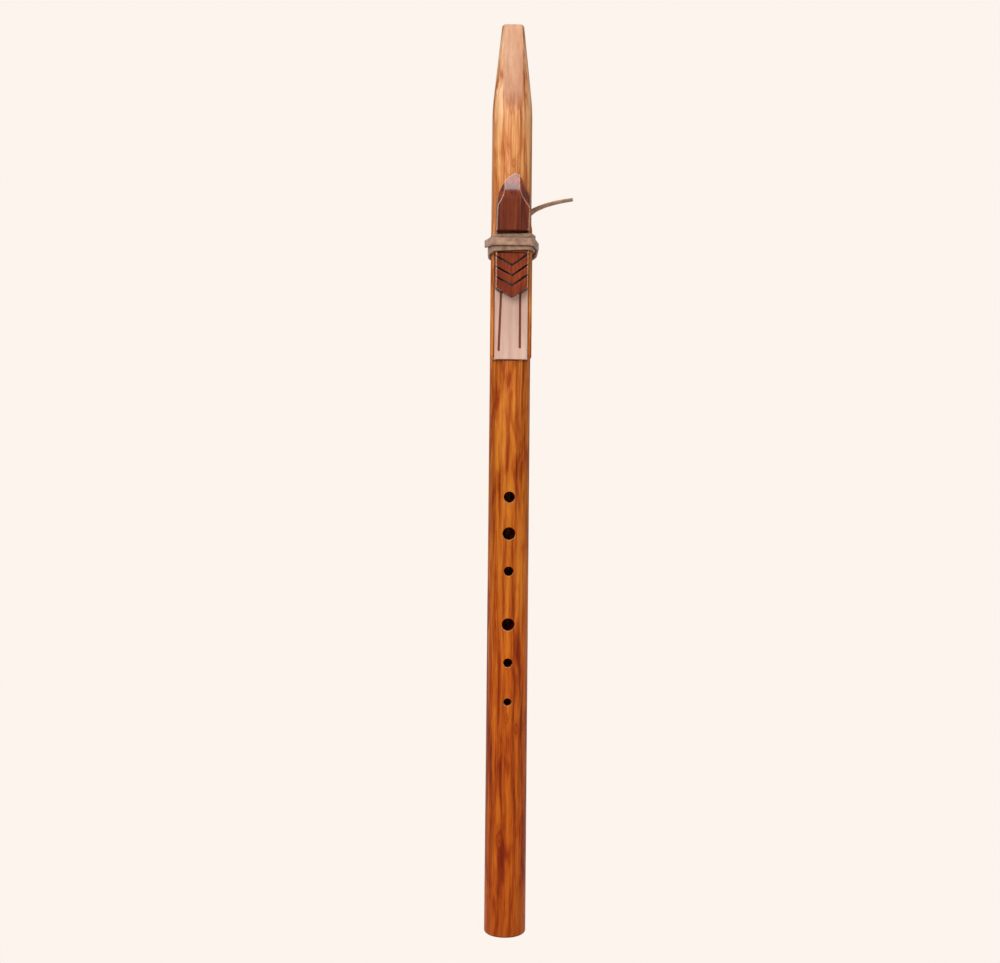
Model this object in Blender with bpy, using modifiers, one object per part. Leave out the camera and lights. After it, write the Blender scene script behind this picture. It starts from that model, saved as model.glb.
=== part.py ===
"""A six-hole wooden flute of the native American kind, with its block tied on by a leather lace.

Lengths are metres. +Z runs up the bore from the foot face, the finger holes and the block face
-Y, and +X is on the right of someone who looks at them. A height called h is measured from the
bore's axis towards the front, so h is -y.
"""

from math import asin, atan, atan2, cos, dist, hypot, pi, sin

import bmesh
import bpy
from mathutils import Matrix, Vector

MM = 0.001
OBJECT_NAME = "native_american_flute"

# Fits
GAP = 0.3 * MM
CUT_PAST = 5 * MM

# Turned body
LENGTH = 640 * MM
TUBE_R = 14.15 * MM
FOOT_FLARE = 0.45 * MM
FLARE_LOW, FLARE_HIGH = 30 * MM, 110 * MM
FOOT_RIM_R = 1.6 * MM
MOUTH_R = 7.75 * MM
MOUTH_RIM_R = 0.9 * MM
TAPER_SLOPE = 0.109
SHOULDER_BLEND = 0.25 * MM
SHOULDER_LOW, SHOULDER_HIGH = 568 * MM, 592 * MM
BODY_STEPS = 72

# Flats planed on the front and the back of the mouthpiece
FLAT_H_AT_MOUTH = 4.7 * MM
FLAT_SLOPE = 0.138
FLAT_CUT_LENGTH = 8 * TUBE_R

# Bore, from the blow hole through the slow air chamber to the foot
BORE_R = 9.5 * MM
BLOW_R = 2.95 * MM
THROAT_TOP_Z = 612 * MM
THROAT_FOOT_Z = 577 * MM
BORE_RINGS = 8

# Finger holes, as height above the foot and diameter, from the top one down
FINGER_HOLES = (
    (307.3 * MM, 7.8 * MM),
    (281.8 * MM, 9.0 * MM),
    (255.6 * MM, 6.7 * MM),
    (218.4 * MM, 9.0 * MM),
    (191.7 * MM, 6.4 * MM),
    (164.4 * MM, 5.5 * MM),
)

# Square-shouldered land left on the front half under the nest plate
NEST_FOOT_Z = 403 * MM
LAND_SQUARE_Z = 490 * MM
LAND_TOP_Z = 524 * MM
LAND_HALF_W = 14.6 * MM
LAND_TOP_HALF_W = 8 * MM
LAND_H = 13.8 * MM
LAND_CORE_R = 12 * MM
LAND_DRAFT = 0.034
LAND_EDGE_R = 2.6 * MM
FADE_POINTS = 8

# Nest plate, let 0.2 mm into the land
BED_H = 13.6 * MM
PLATE_T = 2.0 * MM
PLATE_HALF_W = 11.6 * MM
PLATE_OUTLINE = (
    (1.0, NEST_FOOT_Z),
    (1.0, 478 * MM),
    (0.91, 500 * MM),
    (0.73, 512 * MM),
    (0.26, 523 * MM),
)
PLATE_EDGE = 0.6 * MM
PLATE_TOP_H = BED_H + GAP + PLATE_T

# Windows and flue
FLUE_HALF_W = 5.25 * MM
FLUE_DEPTH = 1.0 * MM
SOUND_HOLE_Z = (449 * MM, 454.5 * MM)
EXIT_HOLE_Z = (486 * MM, 492 * MM)
LIP_T = 0.5 * MM
LIP_RAMP = 4.6 * MM

# Two gouged lines on the plate, as x at their top and x and z at their foot
GOUGE_R = 1.1 * MM
GOUGE_DEPTH = 0.6 * MM
GOUGE_TOP_Z = 456 * MM
GOUGES = (
    (-6.9 * MM, -8.5 * MM, 408.5 * MM),
    (6.1 * MM, 6.2 * MM, 410.5 * MM),
)

# Plug between the slow air chamber and the sound chamber
PLUG_R = BORE_R - GAP
PLUG_Z = (456.5 * MM, 485 * MM)
PLUG_RAMP = 8 * MM

# Block: its plan outline as x and z, then its heights
BLOCK_OUTLINE = (
    (0.0 * MM, 444.9 * MM),
    (11.5 * MM, 452.1 * MM),
    (11.8 * MM, 476.0 * MM),
    (12.2 * MM, 492.0 * MM),
    (12.6 * MM, 506.0 * MM),
    (12.7 * MM, 514.5 * MM),
    (10.7 * MM, 519.4 * MM),
    (7.9 * MM, 525.2 * MM),
    (4.4 * MM, 531.0 * MM),
    (2.6 * MM, 532.0 * MM),
    (0.4 * MM, 531.1 * MM),
    (-4.9 * MM, 527.0 * MM),
    (-7.9 * MM, 521.8 * MM),
    (-10.0 * MM, 517.4 * MM),
    (-11.0 * MM, 512.0 * MM),
    (-11.9 * MM, 492.0 * MM),
    (-11.8 * MM, 476.0 * MM),
    (-11.5 * MM, 452.1 * MM),
)
BLOCK_BASE_H = PLATE_TOP_H + GAP
BLOCK_TOP_H = 30.6 * MM
BLOCK_DRAFT = 0.07
BLOCK_EDGE = 0.5 * MM
NOTCH_Z = (476.2 * MM, 490.1 * MM)
NOTCH_H = 24.2 * MM
NOTCH_RUN = 0.8 * MM
TAIL_H_AT_NOTCH = 25.4 * MM
TAIL_SLOPE = 0.058

# Roof of the block's head: each facet by three points as x, h and z, in mm
ROOF_FACETS = (
    ((0.0, 30.2, 516.5), (8.0, 30.2, 516.5), (0.0, 20.5, 531.5)),
    ((4.8, 30.2, 516.5), (4.8, 20.5, 531.5), (12.7, 24.0, 514.5)),
    ((-5.6, 30.2, 516.5), (-5.6, 20.5, 531.5), (-10.8, 26.5, 512.5)),
)

# Round from the block's face to the roof's middle facet, cut as this many flats
BROW_R = 20 * MM
BROW_FLATS = 5

# Chevrons cut across the block's tail, by the height of each tip
CHEVRON_TIPS_Z = (453.2 * MM, 460.1 * MM, 467.3 * MM)
CHEVRON_ARM_W = 13 * MM
CHEVRON_RISE_LEFT = 7.1 * MM
CHEVRON_RISE_RIGHT = 9.2 * MM
CHEVRON_R = 0.8 * MM

# Hood that the block's tail makes over the sound hole
HOOD_HALF_W = 6.6 * MM
HOOD_H = 3.4 * MM
HOOD_Z = 456 * MM

# Leather lace
LACE_W = 5.4 * MM
LACE_T = 1.8 * MM
LACE_TURNS = 3
LACE_PITCH = 6.2 * MM
LACE_START_Z = 477.0 * MM
LACE_LAYER = LACE_T + 0.45 * MM
LACE_CLIMB = (1.78, 1.98)
LEAST_LACE_GAP = 0.4 * MM
NEIGHBOUR_TURN = 5 / 6

# Rounds that the lace is pulled over, as x, h and radius: tube back, land, notch corner
LACE_ROUNDS = (
    (0.0, 0.0, TUBE_R + 0.05 * MM),
    (LAND_HALF_W - LAND_EDGE_R, LAND_H - LAND_EDGE_R, LAND_EDGE_R),
    (10.8 * MM, NOTCH_H - 1.0 * MM, 1.0 * MM),
)

# Knot behind the tube
KNOT_CENTRE = Vector((0.0, 19.7 * MM, 475.0 * MM))
KNOT_HALF = Vector((4.2 * MM, 5.0 * MM, 3.6 * MM))
KNOT_BAND_R = 3.4 * MM
KNOT_BAND_T = 1.5 * MM

# Free ends of the lace, in mm, and how many points a curve through them gets
RIGHT_END_ROUTE = (
    (6.6, 21.0, 477.4),
    (7.4, 22.4, 483.5),
    (7.8, 22.0, 490.5),
    (8.2, 20.6, 497.5),
    (9.4, 18.4, 504.0),
    (12.0, 15.6, 509.2),
    (15.9, 13.0, 512.2),
    (19.8, 11.4, 514.0),
    (24.0, 10.2, 515.5),
    (30.6, 8.8, 517.3),
    (37.4, 7.8, 518.6),
    (44.0, 7.0, 519.6),
)
LEFT_END_ROUTE = (
    (-3.4, 20.6, 469.2),
    (-5.0, 21.2, 464.5),
    (-6.4, 20.8, 458.5),
    (-7.4, 19.6, 452.0),
    (-7.8, 18.6, 445.0),
    (-7.6, 18.2, 437.5),
    (-7.2, 18.2, 431.5),
)
END_POINTS = 22

# Slabs drawn in plan (x, z) grow towards the front; slabs drawn in profile (h, z) grow along X
PLAN = Matrix(((1, 0, 0, 0), (0, 0, -1, 0), (0, 1, 0, 0), (0, 0, 0, 1)))
PROFILE = Matrix(((0, 0, -1, 0), (-1, 0, 0, 0), (0, 1, 0, 0), (0, 0, 0, 1)))


def clear_scene():
    """Remove every object that the scene starts with."""
    for obj in list(bpy.data.objects):
        bpy.data.objects.remove(obj)


def collection(name):
    """Return a new collection under the scene's own."""
    made = bpy.data.collections.new(name)
    bpy.context.scene.collection.children.link(made)
    return made


def finish(obj, name, colour, roughness, angle=0.6):
    """Name a finished piece, shade it smooth and give it its own material."""
    obj.name = name
    obj.data.name = name
    if obj.type == "MESH":
        obj.data.shade_smooth()
        obj.data.set_sharp_from_angle(angle=angle)
    material = bpy.data.materials.new(name)
    material.use_nodes = True
    shader = material.node_tree.nodes["Principled BSDF"]
    shader.inputs["Base Color"].default_value = (*colour, 1.0)
    shader.inputs["Roughness"].default_value = roughness
    shader.inputs["Metallic"].default_value = 0.0
    obj.data.materials.clear()
    obj.data.materials.append(material)
    return obj


def new_object(name, data, group):
    """Link a new object that holds this data."""
    obj = bpy.data.objects.new(name, data)
    group.objects.link(obj)
    return obj


def hide_cutter(obj):
    """Show a cutter as wires and keep it out of renders."""
    obj.hide_render = True
    obj.display_type = "WIRE"
    return obj


def from_bmesh(name, bm, group):
    """Turn a bmesh into an object."""
    bmesh.ops.recalc_face_normals(bm, faces=bm.faces)
    mesh = bpy.data.meshes.new(name)
    bm.to_mesh(mesh)
    bm.free()
    return new_object(name, mesh, group)


def box(name, low, high, group):
    """A box between two corners."""
    size = Vector(high) - Vector(low)
    middle = (Vector(high) + Vector(low)) / 2
    bm = bmesh.new()
    bmesh.ops.create_cube(bm, size=1.0, matrix=Matrix.Translation(middle) @ Matrix.Diagonal((*size, 1.0)))
    return from_bmesh(name, bm, group)


def cylinder(name, radius, matrix, length, segments, group):
    """A cylinder centred on the matrix, along its own Z."""
    bm = bmesh.new()
    bmesh.ops.create_cone(
        bm, cap_ends=True, segments=segments, radius1=radius, radius2=radius, depth=length, matrix=matrix
    )
    return from_bmesh(name, bm, group)


def turned_ring(name, profile, steps, group):
    """Turn a closed profile of (radius, z) points, given down the outside, about the bore's axis."""
    mesh = bpy.data.meshes.new(name)
    points = [(radius, 0.0, z) for radius, z in profile]
    mesh.from_pydata(points, [(i, (i + 1) % len(points)) for i in range(len(points))], [])
    obj = new_object(name, mesh, group)
    screw = obj.modifiers.new("turn", "SCREW")
    screw.steps = screw.render_steps = steps
    screw.use_merge_vertices = True
    screw.merge_threshold = 1e-6
    return obj


def mesh_of(curve_object, group):
    """Replace a curve by its mesh, with the caps welded on."""
    graph = bpy.context.evaluated_depsgraph_get()
    mesh = bpy.data.meshes.new_from_object(curve_object.evaluated_get(graph))
    bm = bmesh.new()
    bm.from_mesh(mesh)
    bmesh.ops.remove_doubles(bm, verts=bm.verts, dist=1e-6)
    bmesh.ops.recalc_face_normals(bm, faces=bm.faces)
    bm.to_mesh(mesh)
    bm.free()
    obj = new_object(curve_object.name, mesh, group)
    obj.matrix_world = curve_object.matrix_world
    bpy.data.objects.remove(curve_object)
    return obj


def slab(name, outline, low, high, plane, group):
    """A flat outline given thickness from low to high, square to its plane, as a mesh."""
    curve = bpy.data.curves.new(name, "CURVE")
    curve.dimensions = "2D"
    curve.fill_mode = "BOTH"
    curve.extrude = (high - low) / 2
    spline = curve.splines.new("POLY")
    spline.points.add(len(outline) - 1)
    for point, (u, v) in zip(spline.points, outline):
        point.co = (u, v, 0.0, 1.0)
    spline.use_cyclic_u = True
    obj = new_object(name, curve, group)
    obj.matrix_world = plane @ Matrix.Translation((0.0, 0.0, (high + low) / 2))
    bpy.context.view_layer.update()
    made = mesh_of(obj, group)
    made.data.transform(made.matrix_world)
    made.matrix_world = Matrix.Identity(4)
    return made


def tube(name, points, radius, group):
    """A round rod along straight runs, as a mesh."""
    curve = bpy.data.curves.new(name, "CURVE")
    curve.dimensions = "3D"
    curve.bevel_depth = radius
    curve.bevel_resolution = 2
    curve.use_fill_caps = True
    set_poly_spline(curve, points)
    obj = new_object(name, curve, group)
    bpy.context.view_layer.update()
    return mesh_of(obj, group)


def set_poly_spline(curve, points, tilt=None):
    """Lay one open spline of straight runs through the points."""
    spline = curve.splines.new("POLY")
    spline.points.add(len(points) - 1)
    for index, (target, point) in enumerate(zip(spline.points, points)):
        target.co = (*point, 1.0)
        if tilt:
            target.tilt = tilt(index / (len(points) - 1))


def strip(name, points, twist, group, tilt=None):
    """A flat lace of oblong section along the points, in one unbroken piece."""
    curve = bpy.data.curves.new(name, "CURVE")
    curve.dimensions = "3D"
    curve.twist_mode = twist
    curve.bevel_depth = LACE_T / 2
    curve.extrude = (LACE_W - LACE_T) / 2
    curve.bevel_resolution = 1
    curve.use_fill_caps = True
    set_poly_spline(curve, points, tilt)
    return new_object(name, curve, group)


def boolean(obj, cutter, operation):
    """Add an exact Boolean with one other mesh."""
    modifier = obj.modifiers.new(f"{operation.lower()} {cutter.name}", "BOOLEAN")
    modifier.operation = operation
    modifier.solver = "EXACT"
    modifier.object = cutter


def bevel(obj, width, segments, angle):
    """Round the edges sharper than the angle."""
    modifier = obj.modifiers.new("edges", "BEVEL")
    modifier.width = width
    modifier.segments = segments
    modifier.limit_method = "ANGLE"
    modifier.angle_limit = angle


def front(x, h, z):
    """The world point at this x, height towards the front and z."""
    return Vector((x, -h, z))


def smoothstep(low, high, value):
    """Ease from 0 at low to 1 at high."""
    t = min(max((value - low) / (high - low), 0.0), 1.0)
    return t * t * (3.0 - 2.0 * t)


def spread(low, high, count):
    """Evenly spaced values from low to high, both included."""
    return [low + (high - low) * i / (count - 1) for i in range(count)]


def body_radius(z):
    """Outer radius of the turned body: a tube with a flared foot, softly met by the mouth's taper."""
    tube_r = TUBE_R + FOOT_FLARE * (1.0 - smoothstep(FLARE_LOW, FLARE_HIGH, z))
    cone_r = MOUTH_R + (LENGTH - z) * TAPER_SLOPE
    apart = abs(tube_r - cone_r)
    overlap = max(0.0, 1.0 - apart / (4.0 * SHOULDER_BLEND))
    return min(tube_r, cone_r) - SHOULDER_BLEND * overlap * overlap


def body_profile():
    """Outline of the bored body: down the outside from the mouth, then up the bore from the foot."""
    top_rim_z = LENGTH - MOUTH_RIM_R
    rim_in = body_radius(top_rim_z) - MOUTH_RIM_R
    foot_in = body_radius(FOOT_RIM_R) - FOOT_RIM_R
    heights = spread(SHOULDER_HIGH, SHOULDER_LOW, 10)
    heights += spread(SHOULDER_LOW - 14 * MM, FLARE_HIGH, 9)
    heights += spread(FLARE_HIGH, FLARE_LOW, 6)[1:]
    profile = []
    for angle in spread(pi / 2, 0.0, 4):
        profile.append((rim_in + MOUTH_RIM_R * cos(angle), top_rim_z + MOUTH_RIM_R * sin(angle)))
    profile += [(body_radius(z), z) for z in heights]
    for angle in spread(0.0, -pi / 2, 5):
        profile.append((foot_in + FOOT_RIM_R * cos(angle), FOOT_RIM_R + FOOT_RIM_R * sin(angle)))
    profile += [(BORE_R, z) for z in spread(0.0, THROAT_FOOT_Z, BORE_RINGS)]
    return [*profile, (BLOW_R, THROAT_TOP_Z), (BLOW_R, LENGTH)]


def mouth_flat_cutters(group):
    """Two boxes whose near faces plane the mouthpiece's front and back."""
    cutters = []
    for side in (-1, 1):
        low = (-2 * TUBE_R, 0.0, -FLAT_CUT_LENGTH)
        high = (2 * TUBE_R, TUBE_R, CUT_PAST)
        cutter = box("mouth_flat", low, high, group)
        lean = Matrix.Rotation(atan(FLAT_SLOPE), 4, "X")
        place = Matrix.Translation((0.0, FLAT_H_AT_MOUTH, LENGTH)) @ lean
        if side < 0:
            place = Matrix.Rotation(pi, 4, "Z") @ place
        cutter.matrix_world = place
        cutters.append(hide_cutter(cutter))
    return cutters


def finger_hole_cutters(group):
    """One radial cylinder for each finger hole."""
    cutters = []
    for z, diameter in FINGER_HOLES:
        place = Matrix.Translation((0.0, -TUBE_R, z)) @ Matrix.Rotation(pi / 2, 4, "X")
        cutters.append(hide_cutter(cylinder("finger_hole", diameter / 2, place, TUBE_R, 32, group)))
    return cutters


def window_cutters(group):
    """Boxes through the plate and the wall: the sound hole and the slow air chamber's way out."""
    cutters = []
    for name, (low, high) in (("sound_hole", SOUND_HOLE_Z), ("exit_hole", EXIT_HOLE_Z)):
        corners = (-FLUE_HALF_W, -PLATE_TOP_H - CUT_PAST, low), (FLUE_HALF_W, -BORE_R / 2, high)
        cutters.append(hide_cutter(box(name, *corners, group)))
    return cutters


def nest_land(group):
    """The land's solid: square below, drawn in above, with rounded front edges."""
    right = [(LAND_HALF_W, NEST_FOOT_Z)]
    for t in spread(0.0, 1.0, FADE_POINTS):
        ease = (1.0 - cos(pi * t)) / 2
        x = LAND_HALF_W + (LAND_TOP_HALF_W - LAND_HALF_W) * ease
        right.append((x, LAND_SQUARE_Z + (LAND_TOP_Z - LAND_SQUARE_Z) * t))
    outline = right + [(-x, z) for x, z in reversed(right)]
    land = slab("nest_land", outline, -CUT_PAST, LAND_H, PLAN, group)
    for vertex in land.data.vertices:
        vertex.co.x *= 1.0 - LAND_DRAFT * (LAND_H + vertex.co.y) / LAND_H
    bevel(land, LAND_EDGE_R, 4, 1.0)
    middle = Matrix.Translation((0.0, 0.0, (NEST_FOOT_Z + LAND_TOP_Z) / 2))
    core = cylinder("land_core", LAND_CORE_R, middle, LAND_TOP_Z - NEST_FOOT_Z + 2 * CUT_PAST, BODY_STEPS, group)
    boolean(land, hide_cutter(core), "DIFFERENCE")
    return hide_cutter(land)


def plate_outline(grow):
    """The nest plate's outline, grown by a clearance."""
    right = [(share * PLATE_HALF_W + grow, z) for share, z in PLATE_OUTLINE]
    right[0] = (right[0][0], right[0][1] - grow)
    right[-1] = (right[-1][0], right[-1][1] + grow)
    return right + [(-x, z) for x, z in reversed(right)]


def body_half(name, side, cutters, group, cutter_group):
    """Half of the turned body: side -1 is the front half, +1 the back half."""
    half = turned_ring(name, body_profile(), BODY_STEPS, group)
    reach = 3 * TUBE_R
    near, far = sorted((side * GAP / 2, side * reach))
    keep = box(f"{name}_side", (-reach, near, -CUT_PAST), (reach, far, LENGTH + CUT_PAST), cutter_group)
    if side < 0:
        boolean(half, nest_land(cutter_group), "UNION")
    for cutter in cutters:
        boolean(half, cutter, "DIFFERENCE")
    boolean(half, hide_cutter(keep), "INTERSECT")
    return half


def make_body(group, cutter_group):
    """The two glued halves of the tube."""
    common = mouth_flat_cutters(cutter_group)
    windows = window_cutters(cutter_group)
    bed = slab("plate_bed", plate_outline(GAP), BED_H, LAND_H + CUT_PAST, PLAN, cutter_group)
    lip_room = box(
        "lip_room",
        (-FLUE_HALF_W, -LAND_H - CUT_PAST, SOUND_HOLE_Z[0] - LIP_RAMP),
        (FLUE_HALF_W, -BORE_R / 2, SOUND_HOLE_Z[0] + LIP_T),
        cutter_group,
    )
    front_cutters = [hide_cutter(bed), *windows, hide_cutter(lip_room), *finger_hole_cutters(cutter_group)]
    front_half = body_half("body_front_half", -1, common + front_cutters, group, cutter_group)
    back_half = body_half("body_back_half", 1, common, group, cutter_group)
    finish(front_half, "body_front_half", (0.42, 0.145, 0.042), 0.28)
    finish(back_half, "body_back_half", (0.40, 0.135, 0.040), 0.28)
    return windows


def gouge_cutter(top_x, foot_x, foot_z, group):
    """A round-nosed gouge line, as a sphere pulled out along the line."""
    foot = front(foot_x, PLATE_TOP_H + GOUGE_R - GOUGE_DEPTH, foot_z + GOUGE_R)
    top = front(top_x, PLATE_TOP_H + GOUGE_R - GOUGE_DEPTH, GOUGE_TOP_Z)
    run = top - foot
    bm = bmesh.new()
    bmesh.ops.create_uvsphere(bm, u_segments=16, v_segments=8, radius=GOUGE_R)
    for vertex in bm.verts:
        if vertex.co.z > GOUGE_R / 10:
            vertex.co.z += run.length
    turn = run.to_track_quat("Z", "Y").to_matrix().to_4x4()
    bmesh.ops.transform(bm, matrix=Matrix.Translation(foot) @ turn, verts=bm.verts)
    return hide_cutter(from_bmesh("gouge", bm, group))


def make_plate(windows, group, cutter_group):
    """The nest plate, with its flue, its windows, the sound hole's sharp lip and two gouged lines."""
    plate = slab("nest_plate", plate_outline(0.0), BED_H + GAP, PLATE_TOP_H, PLAN, group)
    bevel(plate, PLATE_EDGE, 2, 1.0)
    flue = box(
        "flue",
        (-FLUE_HALF_W, -PLATE_TOP_H - CUT_PAST, SOUND_HOLE_Z[1] - LIP_T),
        (FLUE_HALF_W, -PLATE_TOP_H + FLUE_DEPTH, EXIT_HOLE_Z[0] + LIP_T),
        cutter_group,
    )
    lip_h = PLATE_TOP_H - LIP_T
    ramp = (
        (lip_h, SOUND_HOLE_Z[0] + LIP_T),
        (lip_h, SOUND_HOLE_Z[0]),
        (BED_H, SOUND_HOLE_Z[0] - LIP_RAMP),
        (BED_H, SOUND_HOLE_Z[0] + LIP_T),
    )
    under = slab("lip_ramp", ramp, -FLUE_HALF_W, FLUE_HALF_W, PROFILE, cutter_group)
    gouges = [gouge_cutter(*gouge, cutter_group) for gouge in GOUGES]
    for cutter in (*windows, hide_cutter(flue), hide_cutter(under), *gouges):
        boolean(plate, cutter, "DIFFERENCE")
    finish(plate, "nest_plate", (0.50, 0.23, 0.135), 0.22)


def make_plug(group):
    """The plug that parts the two chambers, with a ramp that leads the breath forward."""
    middle = (PLUG_Z[0] + PLUG_Z[1] + PLUG_RAMP) / 2
    length = PLUG_Z[1] + PLUG_RAMP - PLUG_Z[0]
    bm = bmesh.new()
    bmesh.ops.create_cone(
        bm,
        cap_ends=True,
        segments=BODY_STEPS,
        radius1=PLUG_R,
        radius2=PLUG_R,
        depth=length,
        matrix=Matrix.Translation((0.0, 0.0, middle)),
    )
    slope = Vector((0.0, -PLUG_RAMP, 2 * PLUG_R)).normalized()
    cut = bmesh.ops.bisect_plane(
        bm,
        geom=[*bm.verts, *bm.edges, *bm.faces],
        plane_co=front(0.0, PLUG_R, PLUG_Z[1]),
        plane_no=slope,
        clear_outer=True,
    )
    rim = [edge for edge in cut["geom_cut"] if isinstance(edge, bmesh.types.BMEdge)]
    bmesh.ops.contextual_create(bm, geom=rim)
    plug = from_bmesh("bore_plug", bm, group)
    finish(plug, "bore_plug", (0.36, 0.17, 0.08), 0.6)


def slice_off(bm, point, normal):
    """Cut a mesh by a plane, drop what is in front of it and close the cut."""
    cut = bmesh.ops.bisect_plane(
        bm, geom=[*bm.verts, *bm.edges, *bm.faces], plane_co=point, plane_no=normal, clear_outer=True
    )
    rim = [edge for edge in cut["geom_cut"] if isinstance(edge, bmesh.types.BMEdge)]
    bmesh.ops.contextual_create(bm, geom=rim)


def facet_plane(facet):
    """A point of a roof facet and its outward normal."""
    a, b, c = (front(x * MM, h * MM, z * MM) for x, h, z in facet)
    normal = (b - a).cross(c - a).normalized()
    return a, normal if normal.dot(front(0.0, 1.0, 1.0)) > 0 else -normal


def brow_planes():
    """Planes round the corner between the block's face and the roof's middle facet."""
    point, normal = facet_plane(ROOF_FACETS[0])
    lean = atan2(normal.z, -normal.y)
    corner_z = point.z - (BLOCK_TOP_H + point.y) / (sin(lean) / cos(lean))
    centre = front(0.0, BLOCK_TOP_H - BROW_R, corner_z - BROW_R * (1.0 - cos(lean)) / sin(lean))
    for angle in spread(0.0, lean, BROW_FLATS + 2)[1:-1]:
        out = front(0.0, cos(angle), sin(angle))
        yield centre + out * BROW_R, out


def tail_height(z):
    """Height of the block's tail face at z."""
    return TAIL_H_AT_NOTCH - (NOTCH_Z[0] - z) * TAIL_SLOPE


def chevron_cutter(tip_z, group):
    """A bent rod that cuts one chevron across the tail."""
    arms = (
        (-CHEVRON_ARM_W, tip_z + CHEVRON_RISE_LEFT),
        (0.0, tip_z),
        (CHEVRON_ARM_W, tip_z + CHEVRON_RISE_RIGHT),
    )
    points = [front(x, tail_height(z), z) for x, z in arms]
    return hide_cutter(tube("chevron", points, CHEVRON_R, group))


def make_block(group, cutter_group):
    """The block: gothic head with a facetted roof, lace notch, and a chevroned tail that hoods the sound hole."""
    block = slab("block", BLOCK_OUTLINE, BLOCK_BASE_H, BLOCK_TOP_H, PLAN, group)
    middle_z = (NOTCH_Z[0] + NOTCH_Z[1]) / 2
    for vertex in block.data.vertices:
        rise = (-vertex.co.y - BLOCK_BASE_H) / (BLOCK_TOP_H - BLOCK_BASE_H)
        vertex.co.x *= 1.0 - BLOCK_DRAFT * rise
        vertex.co.z += (middle_z - vertex.co.z) * BLOCK_DRAFT / 4 * rise
    bm = bmesh.new()
    bm.from_mesh(block.data)
    for point, normal in (*brow_planes(), *map(facet_plane, ROOF_FACETS)):
        slice_off(bm, point, normal)
    bm.to_mesh(block.data)
    bm.free()

    far_z = BLOCK_OUTLINE[0][1] - CUT_PAST
    shape = (
        (tail_height(far_z), far_z),
        (tail_height(NOTCH_Z[0] - NOTCH_RUN), NOTCH_Z[0] - NOTCH_RUN),
        (NOTCH_H, NOTCH_Z[0]),
        (NOTCH_H, NOTCH_Z[1]),
        (BLOCK_TOP_H + CUT_PAST, NOTCH_Z[1] + NOTCH_RUN),
        (BLOCK_TOP_H + CUT_PAST, far_z),
    )
    over = slab("over_tail", shape, -TUBE_R, TUBE_R, PROFILE, cutter_group)
    boolean(block, hide_cutter(over), "DIFFERENCE")
    bevel(block, BLOCK_EDGE, 2, 0.5)
    hood = box(
        "hood",
        (-HOOD_HALF_W, -BLOCK_BASE_H - HOOD_H, far_z),
        (HOOD_HALF_W, -BLOCK_BASE_H + CUT_PAST, HOOD_Z),
        cutter_group,
    )
    boolean(block, hide_cutter(hood), "DIFFERENCE")
    for tip_z in CHEVRON_TIPS_Z:
        boolean(block, chevron_cutter(tip_z, cutter_group), "DIFFERENCE")
    return finish(block, "block", (0.15, 0.035, 0.014), 0.2)


def on_round(centre, angle):
    """Station on a round: x, h and the outward normal's angle."""
    x, h, radius = centre
    return (x + radius * cos(angle), h + radius * sin(angle), angle)


def straight_normal(first, second):
    """Angle of the outward normal on the straight run from one round to the next, anticlockwise."""
    (x1, h1, r1), (x2, h2, r2) = first, second
    return atan2(h2 - h1, x2 - x1) - pi / 2 + asin((r1 - r2) / hypot(x2 - x1, h2 - h1))


def half_loop():
    """The right half of one turn over the rounds, from the middle of the back to the middle of the front."""
    back, shoulder, notch = LACE_ROUNDS
    low = straight_normal(back, shoulder)
    high = straight_normal(shoulder, notch)
    stations = [on_round(back, angle) for angle in spread(-pi / 2, low, 6)]
    stations += [on_round(shoulder, angle) for angle in spread(low, high, 2)]
    notch_arc = [on_round(notch, angle) for angle in spread(high, pi / 2, 3)]
    run_x, run_h = ((stations[-1][i] + notch_arc[0][i]) / 2 for i in (0, 1))
    return [*stations, (run_x, run_h, high), *notch_arc, (0.0, notch[1] + notch[2], pi / 2)]


def lace_route():
    """Centre points of the winding and their outward normals: two turns up, then one down over them."""
    right = half_loop()
    left = [(-x, h, pi - angle) for x, h, angle in right]
    loop = left + right[-2:0:-1]
    steps = [dist(a[:2], b[:2]) for a, b in zip(loop, loop[1:] + loop[:1])]
    route = []
    for turn in range(LACE_TURNS):
        gone = 0.0
        for (x, h, angle), step in zip(loop, steps):
            at = turn + gone / sum(steps)
            gone += step
            offset = GAP + LACE_T / 2 + LACE_LAYER * smoothstep(*LACE_CLIMB, at)
            rise = min(at, 2.0) - smoothstep(2.0, 2.36, at) - smoothstep(2.62, 3.0, at)
            point = front(x + offset * cos(angle), h + offset * sin(angle), LACE_START_Z + LACE_PITCH * rise)
            route.append((point, front(cos(angle), sin(angle), 0.0)))
    return route[1:]


def least_gap(route):
    """Least gap between the winding's turns, on points spread over the lace's width."""
    spine = (LACE_W - LACE_T) / 2
    rows = [[point + Vector((0.0, 0.0, off)) for off in spread(-spine, spine, 5)] for point, _ in route]
    neighbours = round(NEIGHBOUR_TURN * len(rows) / LACE_TURNS)
    gaps = []
    for i, row in enumerate(rows):
        for other in rows[i + neighbours :]:
            gaps.append(min((a - b).length for a in row for b in other) - LACE_T)
    return min(gaps)


def make_winding(group):
    """The lace's three turns over the block's notch and round the tube."""
    route = lace_route()
    gap = least_gap(route)
    print(f"lace winding: least gap to itself {gap / MM:.2f} mm over {len(route)} points")
    if gap < LEAST_LACE_GAP:
        raise ValueError("the lace's turns are too close")
    winding = strip("lace_winding", [point for point, _ in route], "Z_UP", group)
    return finish(winding, "lace_winding", (0.39, 0.26, 0.18), 0.8)


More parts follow.
